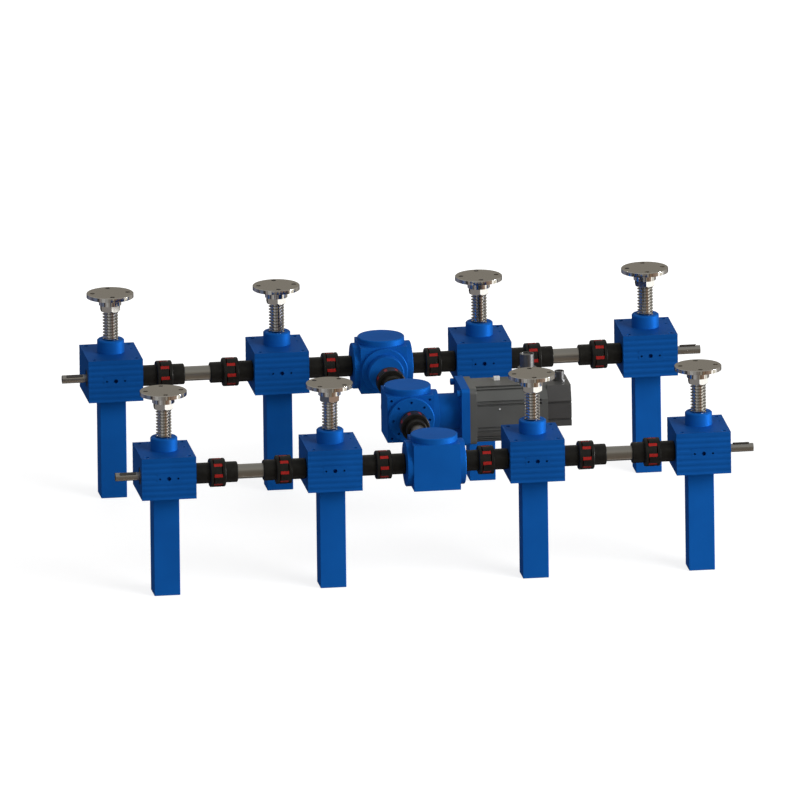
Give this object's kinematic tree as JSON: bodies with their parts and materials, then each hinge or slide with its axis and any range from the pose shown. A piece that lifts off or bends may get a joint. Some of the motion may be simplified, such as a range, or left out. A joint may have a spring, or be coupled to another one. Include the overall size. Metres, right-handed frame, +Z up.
{
  "type": "screw lift platform drive",
  "caption": "Synchronised screw jack lift: two rows of worm gear jacks with translating screws, jaw-coupled line shafts, bevel gearboxes and one motor, ready for a deck.",
  "frame": {"origin": "under the middle of the machine's outline, level with the lower ends of the protective tubes", "axes": "+X along the rows towards the motor, +Y to the back row, +Z up along the lifting screws"},
  "size_m": [1.229, 0.8794, 0.3985],
  "materials": {
    "blue_paint": "satin",
    "bright_steel": "polished",
    "ground_steel": "ground",
    "machined_steel": "machined",
    "black_hub": "satin",
    "red_spider": "matte",
    "motor_grey": "satin",
    "socket_metal": "satin",
    "bearing_steel": "ground",
    "bronze": "machined",
    "black_plastic": "matte",
    "black_rubber": "matte"
  },
  "bodies": {
    "base": {"jack_housings": "blue_paint", "guide_collars": "blue_paint", "bearing_covers": "blue_paint", "thrust_bearings": "bearing_steel", "protective_tubes": "blue_paint", "tube_end_caps": "black_plastic", "gearbox_housings": "blue_paint", "gearbox_covers": "blue_paint", "bearing_flanges": "blue_paint", "input_necks": "blue_paint", "radial_bearings": "bearing_steel", "shaft_seals": "black_rubber", "motor_bell": "blue_paint", "motor_flange": "motor_grey", "motor_body": "motor_grey", "motor_end_cover": "motor_grey", "motor_sockets": "socket_metal"},
    "motor_line": {"quill_pinion": "machined_steel", "motor_rotor": "machined_steel"},
    "cross_line": {"coupling_hubs_cross": "black_hub", "coupling_spiders_cross": "red_spider", "link_shafts_cross": "ground_steel", "bevel_shaft_cross": "machined_steel", "bevel_pinions_cross": "machined_steel"},
    "front_line": {"worm_shafts_front": "machined_steel", "shaft_keys_front": "machined_steel", "coupling_hubs_front": "black_hub", "coupling_spiders_front": "red_spider", "link_shafts_front": "ground_steel", "bevel_shaft_front": "machined_steel"},
    "back_line": {"worm_shafts_back": "machined_steel", "shaft_keys_back": "machined_steel", "coupling_hubs_back": "black_hub", "coupling_spiders_back": "red_spider", "link_shafts_back": "ground_steel", "bevel_shaft_back": "machined_steel"},
    "wheel_front_1": {"worm_wheel_front_1": "bronze"},
    "wheel_front_2": {"worm_wheel_front_2": "bronze"},
    "wheel_front_3": {"worm_wheel_front_3": "bronze"},
    "wheel_front_4": {"worm_wheel_front_4": "bronze"},
    "wheel_back_1": {"worm_wheel_back_1": "bronze"},
    "wheel_back_2": {"worm_wheel_back_2": "bronze"},
    "wheel_back_3": {"worm_wheel_back_3": "bronze"},
    "wheel_back_4": {"worm_wheel_back_4": "bronze"},
    "screw_front_1": {"lift_screw_front_1": "bright_steel", "top_flange_front_1": "bright_steel"},
    "screw_front_2": {"lift_screw_front_2": "bright_steel", "top_flange_front_2": "bright_steel"},
    "screw_front_3": {"lift_screw_front_3": "bright_steel", "top_flange_front_3": "bright_steel"},
    "screw_front_4": {"lift_screw_front_4": "bright_steel", "top_flange_front_4": "bright_steel"},
    "screw_back_1": {"lift_screw_back_1": "bright_steel", "top_flange_back_1": "bright_steel"},
    "screw_back_2": {"lift_screw_back_2": "bright_steel", "top_flange_back_2": "bright_steel"},
    "screw_back_3": {"lift_screw_back_3": "bright_steel", "top_flange_back_3": "bright_steel"},
    "screw_back_4": {"lift_screw_back_4": "bright_steel", "top_flange_back_4": "bright_steel"}
  },
  "joints": [
    {"name": "motor_spin", "type": "hinge", "parent": "base", "child": "motor_line", "pos_m": [0, -0.02625, 0.242], "axis": [1, 0, 0], "range_deg": [-14400, 39600]},
    {"name": "cross_line_spin", "type": "hinge", "parent": "base", "child": "cross_line", "pos_m": [0, -0.02625, 0.242], "axis": [0, 1, 0], "range_deg": [-14401, 39601]},
    {"name": "front_line_spin", "type": "hinge", "parent": "base", "child": "front_line", "pos_m": [0, -0.39475, 0.242], "axis": [1, 0, 0], "range_deg": [-14401, 39601]},
    {"name": "back_line_spin", "type": "hinge", "parent": "base", "child": "back_line", "pos_m": [0, 0.34225, 0.242], "axis": [1, 0, 0], "range_deg": [-14401, 39601]},
    {"name": "wheel_front_1_spin", "type": "hinge", "parent": "base", "child": "wheel_front_1", "pos_m": [-0.515, -0.35725, 0.242], "axis": [0, 0, 1], "range_deg": [-6601, 2401]},
    {"name": "wheel_front_2_spin", "type": "hinge", "parent": "base", "child": "wheel_front_2", "pos_m": [-0.195, -0.35725, 0.242], "axis": [0, 0, 1], "range_deg": [-6601, 2401]},
    {"name": "wheel_front_3_spin", "type": "hinge", "parent": "base", "child": "wheel_front_3", "pos_m": [0.195, -0.35725, 0.242], "axis": [0, 0, 1], "range_deg": [-6601, 2401]},
    {"name": "wheel_front_4_spin", "type": "hinge", "parent": "base", "child": "wheel_front_4", "pos_m": [0.515, -0.35725, 0.242], "axis": [0, 0, 1], "range_deg": [-6601, 2401]},
    {"name": "wheel_back_1_spin", "type": "hinge", "parent": "base", "child": "wheel_back_1", "pos_m": [-0.515, 0.37975, 0.242], "axis": [0, 0, 1], "range_deg": [-6601, 2401]},
    {"name": "wheel_back_2_spin", "type": "hinge", "parent": "base", "child": "wheel_back_2", "pos_m": [-0.195, 0.37975, 0.242], "axis": [0, 0, 1], "range_deg": [-6601, 2401]},
    {"name": "wheel_back_3_spin", "type": "hinge", "parent": "base", "child": "wheel_back_3", "pos_m": [0.195, 0.37975, 0.242], "axis": [0, 0, 1], "range_deg": [-6601, 2401]},
    {"name": "wheel_back_4_spin", "type": "hinge", "parent": "base", "child": "wheel_back_4", "pos_m": [0.515, 0.37975, 0.242], "axis": [0, 0, 1], "range_deg": [-6601, 2401]},
    {"name": "screw_front_1_lift", "type": "slide", "parent": "base", "child": "screw_front_1", "axis": [0, 0, 1], "range_m": [-0.0401, 0.1101]},
    {"name": "screw_front_2_lift", "type": "slide", "parent": "base", "child": "screw_front_2", "axis": [0, 0, 1], "range_m": [-0.0401, 0.1101]},
    {"name": "screw_front_3_lift", "type": "slide", "parent": "base", "child": "screw_front_3", "axis": [0, 0, 1], "range_m": [-0.0401, 0.1101]},
    {"name": "screw_front_4_lift", "type": "slide", "parent": "base", "child": "screw_front_4", "axis": [0, 0, 1], "range_m": [-0.0401, 0.1101]},
    {"name": "screw_back_1_lift", "type": "slide", "parent": "base", "child": "screw_back_1", "axis": [0, 0, 1], "range_m": [-0.0401, 0.1101]},
    {"name": "screw_back_2_lift", "type": "slide", "parent": "base", "child": "screw_back_2", "axis": [0, 0, 1], "range_m": [-0.0401, 0.1101]},
    {"name": "screw_back_3_lift", "type": "slide", "parent": "base", "child": "screw_back_3", "axis": [0, 0, 1], "range_m": [-0.0401, 0.1101]},
    {"name": "screw_back_4_lift", "type": "slide", "parent": "base", "child": "screw_back_4", "axis": [0, 0, 1], "range_m": [-0.0401, 0.1101]}
  ],
  "couplings": [
    {"joint": "cross_line_spin", "follows": "motor_spin", "ratio": 1},
    {"joint": "front_line_spin", "follows": "motor_spin", "ratio": 1},
    {"joint": "back_line_spin", "follows": "motor_spin", "ratio": 1},
    {"joint": "wheel_front_1_spin", "follows": "motor_spin", "ratio": -0.16667},
    {"joint": "wheel_front_2_spin", "follows": "motor_spin", "ratio": -0.16667},
    {"joint": "wheel_front_3_spin", "follows": "motor_spin", "ratio": -0.16667},
    {"joint": "wheel_front_4_spin", "follows": "motor_spin", "ratio": -0.16667},
    {"joint": "wheel_back_1_spin", "follows": "motor_spin", "ratio": -0.16667},
    {"joint": "wheel_back_2_spin", "follows": "motor_spin", "ratio": -0.16667},
    {"joint": "wheel_back_3_spin", "follows": "motor_spin", "ratio": -0.16667},
    {"joint": "wheel_back_4_spin", "follows": "motor_spin", "ratio": -0.16667},
    {"joint": "screw_front_1_lift", "follows": "motor_spin", "m_per_rad": 0.00015915},
    {"joint": "screw_front_2_lift", "follows": "motor_spin", "m_per_rad": 0.00015915},
    {"joint": "screw_front_3_lift", "follows": "motor_spin", "m_per_rad": 0.00015915},
    {"joint": "screw_front_4_lift", "follows": "motor_spin", "m_per_rad": 0.00015915},
    {"joint": "screw_back_1_lift", "follows": "motor_spin", "m_per_rad": 0.00015915},
    {"joint": "screw_back_2_lift", "follows": "motor_spin", "m_per_rad": 0.00015915},
    {"joint": "screw_back_3_lift", "follows": "motor_spin", "m_per_rad": 0.00015915},
    {"joint": "screw_back_4_lift", "follows": "motor_spin", "m_per_rad": 0.00015915}
  ]
}
